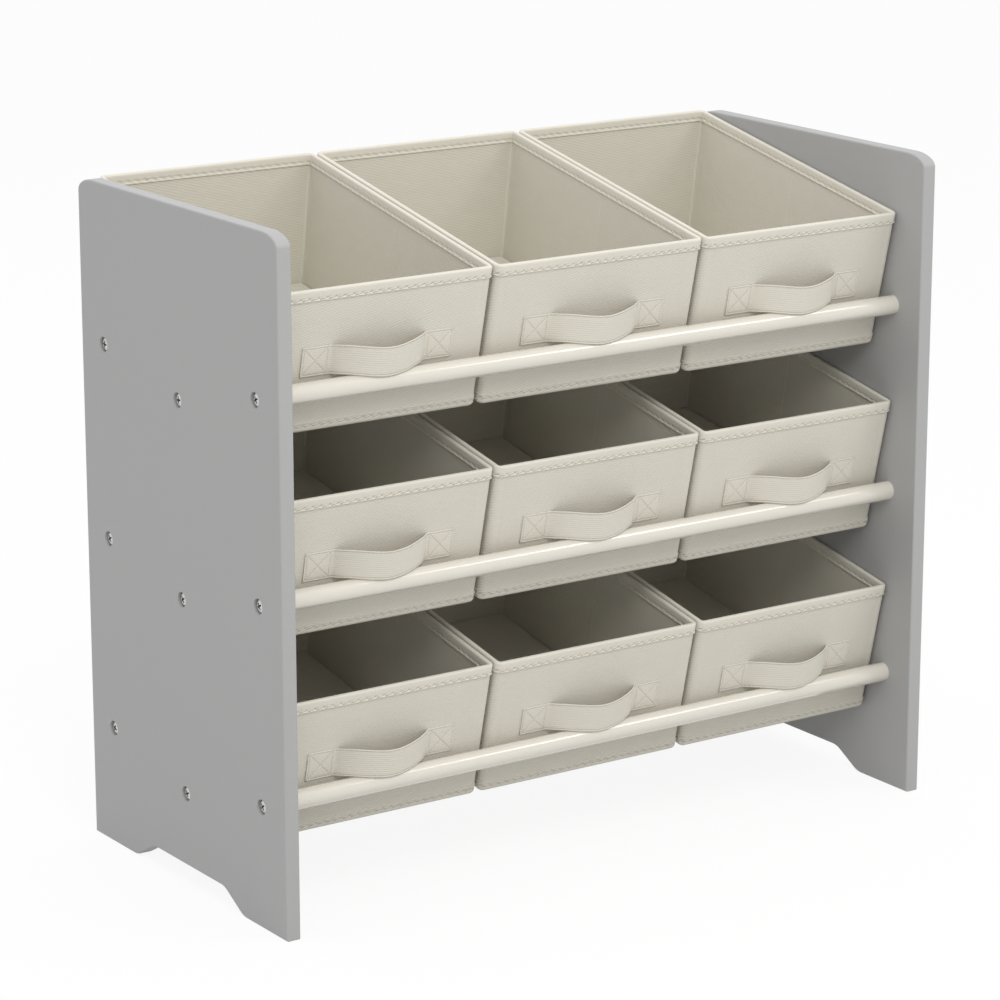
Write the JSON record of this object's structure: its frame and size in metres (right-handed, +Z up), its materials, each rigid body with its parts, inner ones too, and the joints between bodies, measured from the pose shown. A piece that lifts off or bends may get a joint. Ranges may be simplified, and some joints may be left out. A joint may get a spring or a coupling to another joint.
{
  "type": "toy storage organizer with bins",
  "caption": "Free-standing children's storage organizer: two side panels joined by round rails that carry tilted, lift-out fabric bins with strap handles.",
  "frame": {"origin": "on the floor at the centre of the organizer's footprint", "axes": "+X to the right along the rails, +Y to the back, +Z up; the bins face -Y"},
  "size_m": [0.63, 0.3128, 0.5492],
  "materials": {
    "panel": "satin grey paint on fibreboard",
    "rail": "glossy ivory coating on steel tube",
    "screw": "bright plated steel",
    "plug": "natural nylon",
    "bin_fabric": "cream twill",
    "binding": "cream folded tape with a running stitch",
    "webbing": "cream ribbed webbing",
    "lining": "cream fabric over board",
    "stiffener": "plain grey-brown board"
  },
  "bodies": {
    "frame": {"left_panel": "panel", "right_panel": "panel", "lower_front_rail": "rail", "lower_center_rail": "rail", "lower_back_rail": "rail", "middle_front_rail": "rail", "middle_center_rail": "rail", "middle_back_rail": "rail", "upper_front_rail": "rail", "upper_center_rail": "rail", "upper_back_rail": "rail", "left_panel_screws": "screw", "right_panel_screws": "screw", "rail_end_plugs": "plug"},
    "lower_left_bin": {"lower_left_bin_cover": "bin_fabric", "lower_left_bin_wall_boards": "stiffener", "lower_left_bin_base_board": "lining", "lower_left_bin_rim_binding": "binding", "lower_left_bin_handle": "webbing"},
    "lower_center_bin": {"lower_center_bin_cover": "bin_fabric", "lower_center_bin_wall_boards": "stiffener", "lower_center_bin_base_board": "lining", "lower_center_bin_rim_binding": "binding", "lower_center_bin_handle": "webbing"},
    "lower_right_bin": {"lower_right_bin_cover": "bin_fabric", "lower_right_bin_wall_boards": "stiffener", "lower_right_bin_base_board": "lining", "lower_right_bin_rim_binding": "binding", "lower_right_bin_handle": "webbing"},
    "middle_left_bin": {"middle_left_bin_cover": "bin_fabric", "middle_left_bin_wall_boards": "stiffener", "middle_left_bin_base_board": "lining", "middle_left_bin_rim_binding": "binding", "middle_left_bin_handle": "webbing"},
    "middle_center_bin": {"middle_center_bin_cover": "bin_fabric", "middle_center_bin_wall_boards": "stiffener", "middle_center_bin_base_board": "lining", "middle_center_bin_rim_binding": "binding", "middle_center_bin_handle": "webbing"},
    "middle_right_bin": {"middle_right_bin_cover": "bin_fabric", "middle_right_bin_wall_boards": "stiffener", "middle_right_bin_base_board": "lining", "middle_right_bin_rim_binding": "binding", "middle_right_bin_handle": "webbing"},
    "upper_left_bin": {"upper_left_bin_cover": "bin_fabric", "upper_left_bin_wall_boards": "stiffener", "upper_left_bin_base_board": "lining", "upper_left_bin_rim_binding": "binding", "upper_left_bin_handle": "webbing"},
    "upper_center_bin": {"upper_center_bin_cover": "bin_fabric", "upper_center_bin_wall_boards": "stiffener", "upper_center_bin_base_board": "lining", "upper_center_bin_rim_binding": "binding", "upper_center_bin_handle": "webbing"},
    "upper_right_bin": {"upper_right_bin_cover": "bin_fabric", "upper_right_bin_wall_boards": "stiffener", "upper_right_bin_base_board": "lining", "upper_right_bin_rim_binding": "binding", "upper_right_bin_handle": "webbing"}
  },
  "joints": [
    {"name": "lower_left_bin_tip_up", "type": "hinge", "parent": "frame", "child": "lower_left_bin", "pos_m": [-0.20167, 0.11259, 0.099], "axis": [-1, 0, 0], "range_deg": [0, 10.5]},
    {"name": "lower_center_bin_tip_up", "type": "hinge", "parent": "frame", "child": "lower_center_bin", "pos_m": [0, 0.11259, 0.099], "axis": [-1, 0, 0], "range_deg": [0, 10.5]},
    {"name": "lower_right_bin_tip_up", "type": "hinge", "parent": "frame", "child": "lower_right_bin", "pos_m": [0.20167, 0.11259, 0.099], "axis": [-1, 0, 0], "range_deg": [0, 10.5]},
    {"name": "middle_left_bin_tip_up", "type": "hinge", "parent": "frame", "child": "middle_left_bin", "pos_m": [-0.20167, 0.11259, 0.259], "axis": [-1, 0, 0], "range_deg": [0, 10.5]},
    {"name": "middle_center_bin_tip_up", "type": "hinge", "parent": "frame", "child": "middle_center_bin", "pos_m": [0, 0.11259, 0.259], "axis": [-1, 0, 0], "range_deg": [0, 10.5]},
    {"name": "middle_right_bin_tip_up", "type": "hinge", "parent": "frame", "child": "middle_right_bin", "pos_m": [0.20167, 0.11259, 0.259], "axis": [-1, 0, 0], "range_deg": [0, 10.5]},
    {"name": "upper_left_bin_lift_out", "type": "slide", "parent": "frame", "child": "upper_left_bin", "axis": [0, -0.1913, 0.9815], "range_m": [0, 0.16]},
    {"name": "upper_center_bin_lift_out", "type": "slide", "parent": "frame", "child": "upper_center_bin", "axis": [0, -0.1913, 0.9815], "range_m": [0, 0.16]},
    {"name": "upper_right_bin_lift_out", "type": "slide", "parent": "frame", "child": "upper_right_bin", "axis": [0, -0.1913, 0.9815], "range_m": [0, 0.16]}
  ]
}
